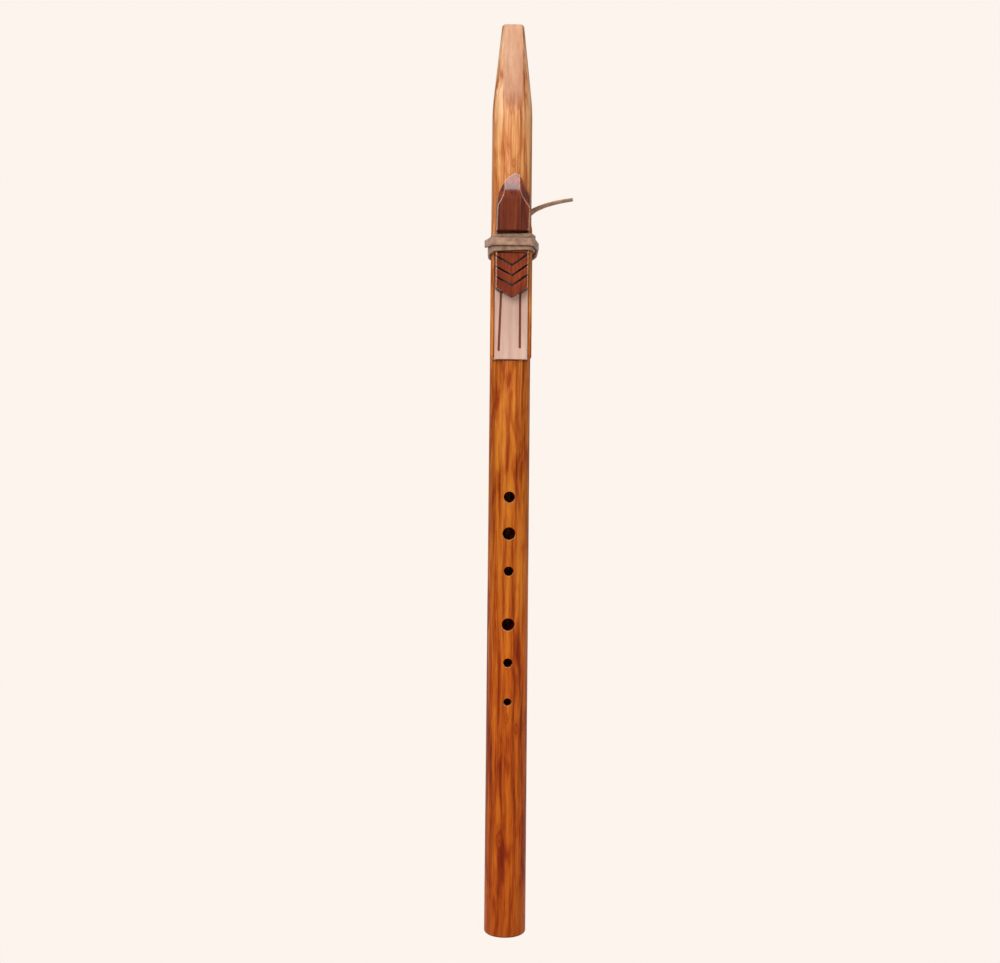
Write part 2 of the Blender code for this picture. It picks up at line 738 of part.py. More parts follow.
def make_knot(group):
    """The knot behind the tube: a drawn core with a turn round its waist."""
    bm = bmesh.new()
    place = Matrix.Translation(KNOT_CENTRE) @ Matrix.Diagonal((*KNOT_HALF, 1.0))
    bmesh.ops.create_uvsphere(bm, u_segments=20, v_segments=12, radius=1.0, matrix=place)
    core = from_bmesh("lace_knot", bm, group)
    bpy.ops.mesh.primitive_torus_add(
        major_segments=20,
        minor_segments=10,
        major_radius=KNOT_BAND_R,
        minor_radius=KNOT_BAND_T,
        location=KNOT_CENTRE,
        rotation=(pi / 2, 0.0, 0.3),
    )
    band = bpy.context.object
    for owner in list(band.users_collection):
        owner.objects.unlink(band)
    group.objects.link(band)
    boolean(core, hide_cutter(band), "UNION")
    return finish(core, "lace_knot", (0.36, 0.24, 0.165), 0.8)


def smooth_route(waypoints, count):
    """Points at equal steps of parameter on a smooth curve through the waypoints."""
    points = [Vector(point) * MM for point in waypoints]
    points = [2 * points[0] - points[1], *points, 2 * points[-1] - points[-2]]
    made = []
    for at in spread(0.0, len(waypoints) - 1.0, count):
        index = min(int(at), len(waypoints) - 2)
        t = at - index
        a, b, c, d = points[index : index + 4]
        curve = 2 * b + (c - a) * t + (2 * a - 5 * b + 4 * c - d) * t**2 + (3 * b - a - 3 * c + d) * t**3
        made.append(curve / 2)
    return made


def make_ends(group):
    """The two free ends of the lace: one springs out to the right, one hangs behind the tube."""
    right = smooth_route(RIGHT_END_ROUTE, END_POINTS)
    left = smooth_route(LEFT_END_ROUTE, END_POINTS)
    ends = (
        strip("lace_end_right", right, "Z_UP", group, tilt=lambda share: pi / 2 - 0.2 + max(0.0, 0.4 * share - 0.2)),
        strip("lace_end_left", left, "MINIMUM", group, tilt=lambda share: 0.4 * share),
    )
    for end in ends:
        finish(end, end.name, (0.34, 0.24, 0.18), 0.8)
    return ends


def main():
    """Build the flute: a glued body with its plug and plate, and the block tied on to slide along it."""
    clear_scene()
    parts = collection(OBJECT_NAME)
    cutters = collection("cutters")
    windows = make_body(parts, cutters)
    make_plate(windows, parts, cutters)
    make_plug(parts)
    slider = new_object("block_slide", None, parts)
    slider.location = (0.0, -BLOCK_BASE_H, NOTCH_Z[0])
    moving = [make_block(parts, cutters), make_winding(parts), make_knot(parts), *make_ends(parts)]
    bpy.context.view_layer.update()
    for piece in moving:
        piece.parent = slider
        piece.matrix_parent_inverse = slider.matrix_world.inverted()


main()
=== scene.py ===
"""Looks for a six-hole wooden flute of the native American kind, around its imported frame.

Every place and size is in metres, in the frame's own axes: +Z up the bore, -Y towards the finger
holes, +X to the right of someone who looks at them. h is a height in front of the bore's axis.
"""

import logging
from dataclasses import dataclass, field
from enum import Enum
from math import asin, atan2, cos, dist, hypot, pi, radians, sin

import bmesh
import bpy
from mathutils import Matrix, Vector

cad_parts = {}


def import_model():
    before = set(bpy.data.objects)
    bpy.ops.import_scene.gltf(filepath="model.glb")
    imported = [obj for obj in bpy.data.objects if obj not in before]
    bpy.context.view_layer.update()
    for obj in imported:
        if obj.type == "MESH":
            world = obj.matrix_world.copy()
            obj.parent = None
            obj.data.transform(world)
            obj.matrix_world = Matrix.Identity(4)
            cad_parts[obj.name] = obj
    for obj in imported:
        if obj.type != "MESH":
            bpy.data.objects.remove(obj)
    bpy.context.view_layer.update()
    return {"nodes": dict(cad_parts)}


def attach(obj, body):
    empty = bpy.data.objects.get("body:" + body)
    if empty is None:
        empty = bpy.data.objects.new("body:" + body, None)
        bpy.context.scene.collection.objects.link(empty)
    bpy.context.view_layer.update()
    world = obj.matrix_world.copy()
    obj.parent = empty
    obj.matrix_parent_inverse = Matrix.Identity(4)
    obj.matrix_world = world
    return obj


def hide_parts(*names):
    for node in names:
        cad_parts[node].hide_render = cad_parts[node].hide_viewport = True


MM = 0.001
PHOTO_WIDTH = 1000
PHOTO_HEIGHT = 963

LOG = logging.getLogger("flute")

Tree = bpy.types.NodeTree
Socket = bpy.types.NodeSocket
Colour = tuple[float, float, float, float]
Stops = tuple[tuple[float, str], ...]
Point = tuple[float, float, float]


class Body(Enum):
    """The moving bodies of the frame."""

    FLUTE = "flute_body"
    BLOCK = "tied_block"


def linear(code: str) -> Colour:
    """Turn an sRGB hex colour into linear RGBA.

    Args:
        code: Six hex digits.

    Returns:
        The linear colour with full alpha.
    """
    channels = (int(code[i : i + 2], 16) / 255 for i in (0, 2, 4))
    red, green, blue = (c / 12.92 if c <= 0.04045 else ((c + 0.055) / 1.055) ** 2.4 for c in channels)
    return red, green, blue, 1.0


def add_node(tree: Tree, kind: str, links: dict | None = None, **settings) -> bpy.types.Node:
    """Add one node with its settings, socket values and incoming links.

    Args:
        tree: The node tree to add to.
        kind: The node's type name without its ShaderNode prefix.
        links: Input name or index to a value, or to the output socket that feeds it.
        settings: Attributes of the node.

    Returns:
        The new node.
    """
    node = tree.nodes.new(f"ShaderNode{kind}")
    for name, value in settings.items():
        setattr(node, name, value)
    for key, value in (links or {}).items():
        if isinstance(value, Socket):
            tree.links.new(value, node.inputs[key])
        else:
            node.inputs[key].default_value = value
    return node


def fill_ramp(node: bpy.types.Node, stops: Stops) -> None:
    """Set a colour ramp's stops.

    Args:
        node: The colour ramp node.
        stops: Position and sRGB hex colour of each stop, in order.
    """
    elements = node.color_ramp.elements
    while len(elements) < len(stops):
        elements.new(1.0)
    for element, (position, code) in zip(elements, stops):
        element.position = position
        element.color = linear(code)


def maths(tree: Tree, operation: str, *values: float | Socket) -> Socket:
    """Add one maths node.

    Args:
        tree: The node tree to add to.
        operation: The node's operation.
        values: Its inputs in order.

    Returns:
        The result's socket.
    """
    return add_node(tree, "Math", dict(enumerate(values)), operation=operation).outputs[0]


def tint(
    tree: Tree, base: Socket, factor: Socket | float, over: Colour | Socket, blend: str = "MIX"
) -> Socket:
    """Lay one colour over another.

    Args:
        tree: The node tree to add to.
        base: The colour below.
        factor: How much of the upper colour shows.
        over: The upper colour, as a value or a socket.
        blend: The blend type.

    Returns:
        The mixed colour's socket.
    """
    mix = add_node(tree, "Mix", {"Factor": factor}, data_type="RGBA", blend_type=blend)
    colours = [socket for socket in mix.inputs if socket.type == "RGBA"]
    tree.links.new(base, colours[0])
    if isinstance(over, Socket):
        tree.links.new(over, colours[1])
    else:
        colours[1].default_value = over
    return next(socket for socket in mix.outputs if socket.type == "RGBA")


@dataclass(frozen=True)
class CutFace:
    """A flat face across the front: h at one height, and how fast h grows up the bore."""

    height: float
    at_z: float
    slope: float
    half_width: float
    colour: str
    fade: tuple[float, float] = (66 * MM, 48 * MM)

    def level(self, tree: Tree, z: Socket) -> Socket:
        """Work out the face's h at a height z."""
        return maths(tree, "MULTIPLY_ADD", z, self.slope, self.height - self.slope * self.at_z)

    def cut_mask(self, tree: Tree, place: Socket) -> Socket:
        """Build a mask that is 1 in the lines cut into the face and 0 on it, where painted shade goes.

        Args:
            tree: The node tree to add to.
            place: The Object coordinates.

        Returns:
            The mask's socket.
        """
        x, y, z = add_node(tree, "SeparateXYZ", {0: place}).outputs
        depth = maths(tree, "ADD", self.level(tree, z), y)
        deep = add_node(tree, "MapRange", {0: depth, 1: 0.1 * MM, 2: 0.3 * MM}).outputs[0]
        within = maths(tree, "LESS_THAN", maths(tree, "ABSOLUTE", x), self.half_width)
        below = maths(tree, "LESS_THAN", z, self.at_z)
        return maths(tree, "MULTIPLY", deep, maths(tree, "MULTIPLY", within, below))

    def skin_mask(self, tree: Tree, place: Socket) -> Socket:
        """Build a mask of the face and its twin at the back, which fades out down the bore, for a painted
        sheen on them.

        Args:
            tree: The node tree to add to.
            place: The Object coordinates.

        Returns:
            The mask's socket.
        """
        y, z = add_node(tree, "SeparateXYZ", {0: place}).outputs[1:]
        off = maths(tree, "SUBTRACT", self.level(tree, z), maths(tree, "ABSOLUTE", y))
        off = maths(tree, "ABSOLUTE", off)
        near = add_node(tree, "MapRange", {0: off, 1: 0.6 * MM, 2: 0.1 * MM}).outputs[0]
        start, full = (self.at_z - below for below in self.fade)
        fade = add_node(tree, "MapRange", {0: z, 1: start, 2: full}).outputs[0]
        return maths(tree, "MULTIPLY", near, fade)


@dataclass(frozen=True)
class LacqueredWood:
    """Straight-grained wood under gloss lacquer: long streaks, fine pores and a glassy coat."""

    name: str
    stops: Stops
    along: Stops = ()
    band_mm: float = 3.2
    streak_mm: float = 0.55
    stretch: float = 34.0
    contrast: float = 1.0
    roughness: float = 0.42
    coat: float = 0.18
    shine: float = 0.22
    seed: float = 0.0
    recess_shade_colour: str = "5A2A1A"
    recess_shade_mm: float = 1.4
    wander_mm: float = 5.0
    worn_mm: float = 0.3
    cuts: CutFace | None = None
    planed: CutFace | None = None
    edge: str = ""
    edge_from_mm: float = 500.0
    edge_beyond_mm: float = 10.3
    edge_share: float = 0.7
    planed_sheen_share: float = 0.75
    drift_per_m: float = 14.0
    tone_wander: float = 0.06
    streak_share: float = 0.42
    mottle_mm: float = 9.0
    patches: Stops = ((0.3, "D8B49C"), (0.5, "FFFFFF"))
    knots: tuple[Point, ...] = ()
    lit_rims: tuple[tuple[float, float], ...] = ()
    lit_rim_colour: str = "EBC9A0"

    def material(self) -> bpy.types.Material:
        """Build the wood.

        Returns:
            The material, on Object coordinates with the grain along Z.
        """
        made = bpy.data.materials.new(self.name)
        made.use_nodes = True
        tree = made.node_tree
        shader = tree.nodes["Principled BSDF"]
        place = add_node(tree, "TexCoord").outputs["Object"]
        drift = add_node(tree, "TexNoise", {"Vector": place, "Scale": 16.0, "Detail": 2.0})
        centred = add_node(
            tree, "VectorMath", {0: drift.outputs["Color"], 1: (0.5, 0.5, 0.5)}, operation="SUBTRACT"
        )
        shift = {0: centred.outputs[0], 3: self.wander_mm * MM}
        swing = add_node(tree, "VectorMath", shift, operation="SCALE")
        drifted = add_node(tree, "VectorMath", {0: place, 1: swing.outputs[0]}, operation="ADD").outputs[0]
        bands = self.figure(tree, drifted, self.band_mm, self.stretch, 3.0)
        streaks = self.figure(tree, drifted, self.streak_mm, self.stretch, 4.0)
        mottle = self.figure(tree, drifted, self.mottle_mm, 5.0, 3.0)
        strength = self.streak_share * self.contrast
        level = maths(tree, "MULTIPLY_ADD", streaks, strength, bands)
        level = maths(tree, "ADD", level, -strength / 2)
        for knot in self.knots:
            level = self.swirl(tree, place, level, bands, *knot)
        grain = add_node(tree, "ValToRGB", {"Fac": level})
        fill_ramp(grain, self.stops)
        colour = grain.outputs["Color"]
        patches = add_node(tree, "ValToRGB", {"Fac": mottle})
        fill_ramp(patches, self.patches)
        colour = tint(tree, colour, 1.0, patches.outputs["Color"], "MULTIPLY")
        if self.along:
            height = add_node(tree, "SeparateXYZ", {0: place}).outputs["Z"]
            share = maths(tree, "DIVIDE", height, FluteBody.length)
            cloud = {"Vector": place, "Scale": self.drift_per_m, "Detail": 1.0}
            wander = add_node(tree, "TexNoise", cloud).outputs["Fac"]
            shifted = maths(tree, "MULTIPLY_ADD", wander, self.tone_wander, share)
            tone = add_node(tree, "ValToRGB", {"Fac": shifted})
            fill_ramp(tone, self.along)
            colour = tint(tree, colour, 1.0, tone.outputs["Color"], "MULTIPLY")
        # Painted sheen: the planed flats at the mouth take a paler pinkish colour that stands for the lamps'
        # reflection on them.
        if self.planed:
            flat_sheen = maths(tree, "MULTIPLY", self.planed.skin_mask(tree, place), self.planed_sheen_share)
            colour = tint(tree, colour, flat_sheen, linear(self.planed.colour))
        # Painted shade: ambient occlusion darkens the colour towards the recess shade colour in recesses,
        # seams and under parts.
        hidden = add_node(tree, "AmbientOcclusion", {"Distance": self.recess_shade_mm * MM}, samples=8)
        recess_shade = add_node(tree, "ValToRGB", {"Fac": hidden.outputs["AO"]})
        fill_ramp(recess_shade, ((0.45, self.recess_shade_colour), (0.9, "FFFFFF")))
        colour = tint(tree, colour, 1.0, recess_shade.outputs["Color"], "MULTIPLY")
        # Painted shade: the lines cut into the face take the face's dark colour, standing in for the shade
        # inside the grooves.
        if self.cuts:
            colour = tint(tree, colour, self.cuts.cut_mask(tree, place), linear(self.cuts.colour))
        # Painted highlight: the outer part of each hole's lower wall is made pale, as if lit from above.
        if self.lit_rims:
            colour = tint(tree, colour, self.lit_rim_mask(tree, place), linear(self.lit_rim_colour))
        worn = add_node(tree, "Bevel", {"Radius": self.worn_mm * MM}, samples=6)
        # Painted highlight: the edge colour lightens the surface where the rounded normal turns away from
        # the true one.
        if self.edge:
            colour = tint(tree, colour, self.edge_glint_mask(tree, place, worn.outputs[0]), linear(self.edge))
        tree.links.new(colour, shader.inputs["Base Color"])
        bump = add_node(
            tree,
            "Bump",
            {
                "Strength": 0.12,
                "Distance": 0.05 * MM,
                "Height": streaks,
                "Normal": worn.outputs[0],
            },
        )
        tree.links.new(bump.outputs[0], shader.inputs["Normal"])
        shader.inputs["Roughness"].default_value = self.roughness
        shader.inputs["Coat Weight"].default_value = self.coat
        shader.inputs["Coat Roughness"].default_value = 0.16
        shader.inputs["Specular IOR Level"].default_value = self.shine
        return made

    def figure(
        self, tree: Tree, place: Socket, width_mm: float, stretch: float, detail: float
    ) -> Socket:
        """Add noise drawn out along the grain.

        Args:
            tree: The node tree to add to.
            place: The coordinates to read.
            width_mm: How wide a figure is.
            stretch: How many times as long as wide it is.
            detail: The noise's detail.

        Returns:
            The noise's socket.
        """
        drawn = add_node(tree, "Mapping", {"Vector": place, "Scale": (1.0, 1.0, 1.0 / stretch)})
        drawn.inputs["Location"].default_value = (self.seed, self.seed + width_mm * MM, 0.0)
        noise = {"Scale": 1 / (width_mm * MM), "Detail": detail, "Roughness": 0.58, "Distortion": 0.35}
        return add_node(tree, "TexNoise", {"Vector": drawn.outputs[0], **noise}).outputs["Fac"]

    def swirl(
        self,
        tree: Tree,
        place: Socket,
        level: Socket,
        bands: Socket,
        x_mm: float,
        z_mm: float,
        size_mm: float,
    ) -> Socket:
        """Bend the figure into the rings of a small knot.

        Args:
            tree: The node tree to add to.
            place: The Object coordinates.
            level: The figure so far.
            bands: Noise that makes the rings uneven.
            x_mm: The knot's place across the front.
            z_mm: Its height.
            size_mm: How far its rings reach to the side.

        Returns:
            The figure with the knot in it.
        """
        middle = (x_mm * MM, -14 * MM, z_mm * MM)
        moved = add_node(tree, "VectorMath", {0: place, 1: middle}, operation="SUBTRACT")
        flat = add_node(tree, "VectorMath", {0: moved.outputs[0], 1: (1.0, 0.25, 0.4)}, operation="MULTIPLY")
        length = add_node(tree, "VectorMath", {0: flat.outputs[0]}, operation="LENGTH").outputs["Value"]
        uneven = maths(tree, "MULTIPLY_ADD", bands, size_mm * MM, length)
        rings = maths(tree, "SINE", maths(tree, "MULTIPLY", uneven, 2 * pi / (0.55 * size_mm * MM)))
        ringed = maths(tree, "MULTIPLY_ADD", rings, 0.05, 0.42)
        near = add_node(tree, "MapRange", {0: length, 1: size_mm * MM, 2: 0.35 * size_mm * MM}).outputs[0]
        keep = maths(tree, "MULTIPLY", level, maths(tree, "SUBTRACT", 1.0, near))
        return maths(tree, "MULTIPLY_ADD", ringed, near, keep)

    def edge_glint_mask(self, tree: Tree, place: Socket, rounded: Socket) -> Socket:
        """Build a mask of painted highlights where the edges round over, at the piece's sides and all over
        its upper end.

        Args:
            tree: The node tree to add to.
            place: The Object coordinates.
            rounded: The normal with its edges rounded.

        Returns:
            The mask's socket.
        """
        flat = add_node(tree, "NewGeometry").outputs["Normal"]
        turned = add_node(tree, "VectorMath", {0: rounded, 1: flat}, operation="DOT_PRODUCT")
        near = add_node(tree, "MapRange", {0: turned.outputs["Value"], 1: 0.99, 2: 0.94}).outputs[0]
        x, _, z = add_node(tree, "SeparateXYZ", {0: place}).outputs
        high = maths(tree, "GREATER_THAN", z, self.edge_from_mm * MM)
        aside = maths(tree, "GREATER_THAN", maths(tree, "ABSOLUTE", x), self.edge_beyond_mm * MM)
        where = maths(tree, "MAXIMUM", high, aside)
        return maths(tree, "MULTIPLY", maths(tree, "MULTIPLY", near, self.edge_share), where)

    def lit_rim_mask(self, tree: Tree, place: Socket) -> Socket:
        """Build a mask of the outer part of each hole's lower wall, for a painted highlight where light from
        above falls on it.

        Args:
            tree: The node tree to add to.
            place: The Object coordinates.

        Returns:
            The mask's socket.
        """
        x, y, z = add_node(tree, "SeparateXYZ", {0: place}).outputs
        nearest: Socket | float = 1.0
        for z_mm, diameter_mm in self.lit_rims:
            up = maths(tree, "SUBTRACT", z, z_mm * MM)
            across = maths(tree, "MULTIPLY", x, x)
            reach = maths(tree, "SQRT", maths(tree, "MULTIPLY_ADD", up, up, across))
            upper = maths(tree, "GREATER_THAN", up, -0.1 * diameter_mm * MM)
            outside = maths(tree, "SUBTRACT", maths(tree, "ADD", reach, upper), diameter_mm / 2 * MM)
            nearest = maths(tree, "MINIMUM", outside, nearest)
        inside = maths(tree, "LESS_THAN", nearest, 0.06 * MM)
        shallow = maths(tree, "LESS_THAN", y, -13.2 * MM)
        return maths(tree, "MULTIPLY", maths(tree, "MULTIPLY", inside, shallow), 0.8)


@dataclass(frozen=True)
class Suede:
    """Split leather lace: a dull napped face with a paler cut edge."""

    name: str
    dark: str
    pale: str

    def material(self) -> bpy.types.Material:
        """Build the leather.

        Returns:
            The material, on Object coordinates.
        """
        made = bpy.data.materials.new(self.name)
        made.use_nodes = True
        tree = made.node_tree
        shader = tree.nodes["Principled BSDF"]
        place = add_node(tree, "TexCoord").outputs["Object"]
        clouds = add_node(tree, "TexNoise", {"Vector": place, "Scale": 260.0, "Detail": 4.0})
        nap = add_node(tree, "TexNoise", {"Vector": place, "Scale": 2600.0, "Detail": 3.0})
        both = maths(tree, "MULTIPLY_ADD", nap.outputs["Fac"], 0.45, clouds.outputs["Fac"])
        ramp = add_node(tree, "ValToRGB", {"Fac": both})
        fill_ramp(ramp, ((0.5, self.dark), (0.95, self.pale)))
        # Painted shade: ambient occlusion darkens the lace where the turns touch and in its creases.
        hidden = add_node(tree, "AmbientOcclusion", {"Distance": 1.6 * MM}, samples=8)
        turn_shade = add_node(tree, "ValToRGB", {"Fac": hidden.outputs["AO"]})
        fill_ramp(turn_shade, ((0.35, "5A4034"), (0.95, "FFFFFF")))
        turn_shaded = tint(tree, ramp.outputs["Color"], 1.0, turn_shade.outputs["Color"], "MULTIPLY")
        tree.links.new(turn_shaded, shader.inputs["Base Color"])
        bump = add_node(tree, "Bump", {"Strength": 0.5, "Distance": 0.12 * MM, "Height": nap.outputs["Fac"]})
        tree.links.new(bump.outputs[0], shader.inputs["Normal"])
        shader.inputs["Roughness"].default_value = 0.86
        shader.inputs["Sheen Weight"].default_value = 0.15
        return made


# Satin cedar: honey and red-brown streaks along the tube, darker towards the foot, with small knots, a
# painted sheen on the mouth's flats and painted highlights on the holes' lower walls
BODY_WOOD = LacqueredWood(
    "satin_lacquered_cedar",
    stops=((0.28, "96623E"), (0.42, "C8A080"), (0.56, "EEDCC8"), (0.7, "FFFFFF")),
    along=(
        (0.02, "B15D16"),
        (0.15, "B66014"),
        (0.33, "C26D1C"),
        (0.53, "BF7828"),
        (0.7, "CE863E"),
        (0.9, "DCAA78"),
        (1.0, "E2C4A8"),
    ),
    coat=0.08,
    shine=0.05,
    patches=((0.34, "C08A6C"), (0.46, "F2E0D2"), (0.56, "FFFFFF")),
    planed=CutFace(4.7 * MM, 640 * MM, -0.138, 12 * MM, "B88C72"),
    knots=((6.4, 145.7, 3.0), (-0.7, 152.7, 2.4), (-5.0, 67.7, 5.0), (0.7, 540.0, 2.2)),
    lit_rims=((307.3, 7.8), (281.8, 9.0), (255.6, 6.7), (218.4, 9.0), (191.7, 6.4), (164.4, 5.5)),
)
# The plate's paler cedar: even, pinkish and rubbed flat, with painted shade in its two grooves
NEST_WOOD = LacqueredWood(
    "rubbed_cedar_plate",
    stops=((0.3, "B39081"), (0.5, "BE9B8C"), (0.7, "C8AA9B")),
    seed=0.4,
    contrast=0.3,
    coat=0.08,
    shine=0.15,
    patches=((0.3, "F2E8E4"), (0.5, "FFFFFF")),
    worn_mm=0.6,
    cuts=CutFace(15.9 * MM, 456 * MM, 0.0, 10.4 * MM, "6E3226"),
)
# Gloss walnut: deep red-brown and darker across its head, with painted highlights where the roof and the
# edges round over, and painted shade in the chevrons and recesses
BLOCK_WOOD = LacqueredWood(
    "gloss_lacquered_walnut",
    stops=((0.3, "4A1709"), (0.48, "772A0A"), (0.62, "91390F"), (0.78, "AD581C")),
    along=((0.75, "E4E4E4"), (0.8, "BEBEBE"), (0.832, "BEBEBE"), (0.85, "FFFFFF")),
    seed=0.8,
    streak_mm=0.7,
    recess_shade_colour="2A0E06",
    roughness=0.28,
    coat=0.42,
    shine=0.15,
    worn_mm=1.2,
    cuts=CutFace(25.4 * MM, 476.2 * MM, 0.058, 10.9 * MM, "2A0F08"),
    edge="E6BC9A",
)
# Unfinished cedar inside the bore
PLUG_WOOD = LacqueredWood(
    "bare_cedar_plug", stops=((0.3, "8A5A3C"), (0.6, "B98A64")), roughness=0.7, coat=0.0, seed=1.3
)
# Suede: dull and napped, grey-brown, with painted shade where the turns touch
LACE_LEATHER = Suede("suede_lace", dark="745443", pale="A8856C")


def lerp(low: float, high: float, share: float) -> float:
    """Mix two numbers."""
    return low + (high - low) * share


def spread(low: float, high: float, count: int) -> list[float]:
    """Evenly spaced values from low to high, both included."""
    return [lerp(low, high, i / (count - 1)) for i in range(count)]


def smoothstep(low: float, high: float, value: float) -> float:
    """Ease from 0 at low to 1 at high."""
    t = min(max((value - low) / (high - low), 0.0), 1.0)
    return t * t * (3.0 - 2.0 * t)


def link(name: str, data: bpy.types.ID) -> bpy.types.Object:
    """Link a new object into the scene."""
    made = bpy.data.objects.new(name, data)
    bpy.context.scene.collection.objects.link(made)
    return made


def smooth_route(waypoints: tuple[Point, ...], count: int) -> list[Vector]:
    """Read a smooth curve through waypoints.

    Args:
        waypoints: Points in mm.
        count: How many points to read.

    Returns:
        The points, in metres.
    """
    points = [Vector(point) * MM for point in waypoints]
    points = [2 * points[0] - points[1], *points, 2 * points[-1] - points[-2]]
    made = []
    for at in spread(0.0, len(waypoints) - 1.0, count):
        index = min(int(at), len(waypoints) - 2)
        t = at - index
        a, b, c, d = points[index : index + 4]
        curve = 2 * b + (c - a) * t + (2 * a - 5 * b + 4 * c - d) * t**2 + (3 * b - a - 3 * c + d) * t**3
        made.append(curve / 2)
    return made


def refined(
    node: bpy.types.Object, name: str, material: bpy.types.Material, glued: float = 0.0
) -> bpy.types.Object:
    """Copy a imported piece, with its loose triangles joined, its flats whole and its rounds smooth.

    Args:
        node: The frame's node.
        name: The new piece's name.
        material: Its finish.
        glued: How near to the plane between the halves a vertex is drawn onto it.

    Returns:
        The piece.
    """
    bm = bmesh.new()
    bm.from_mesh(node.data)
    bmesh.ops.remove_doubles(bm, verts=bm.verts, dist=0.001 * MM)
    bmesh.ops.dissolve_limit(bm, angle_limit=radians(0.4), verts=bm.verts, edges=bm.edges)
    for vert in bm.verts:
        if abs(vert.co.y) < glued:
            vert.co.y = 0.0
    mesh = bpy.data.meshes.new(name)
    bm.to_mesh(mesh)
    bm.free()
    mesh.shade_smooth()
    mesh.set_sharp_from_angle(angle=radians(36.0))
    mesh.materials.clear()
    mesh.materials.append(material)
    made = link(name, mesh)
    even = made.modifiers.new("even_shading", "WEIGHTED_NORMAL")
    even.keep_sharp = True
    LOG.info("%s in %s, %d faces", name, material.name, len(mesh.polygons))
    return made


@dataclass
class FluteBody:
    """The glued and turned body with its plug and nest plate."""

    length: float = 640 * MM
    seam: float = 0.2 * MM

    def build(self, nodes: dict[str, bpy.types.Object]) -> None:
        """Make the body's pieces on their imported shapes.

        Args:
            nodes: The frame's nodes by name.
        """
        wood = BODY_WOOD.material()
        looks = {
            "body_front_half": ("tube_front_half", wood, "body_wood", self.seam),
            "body_back_half": ("tube_back_half", wood, "body_wood", self.seam),
            "nest_plate": ("nest_plate_skin", NEST_WOOD.material(), "nest_wood", 0.0),
            "bore_plug": ("bore_plug_skin", PLUG_WOOD.material(), "plug_wood", 0.0),
        }
        for node, (name, material, slot, glued) in looks.items():
            piece = refined(nodes[node], name, material, glued)
            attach(piece, Body.FLUTE.value)
            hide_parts(node)


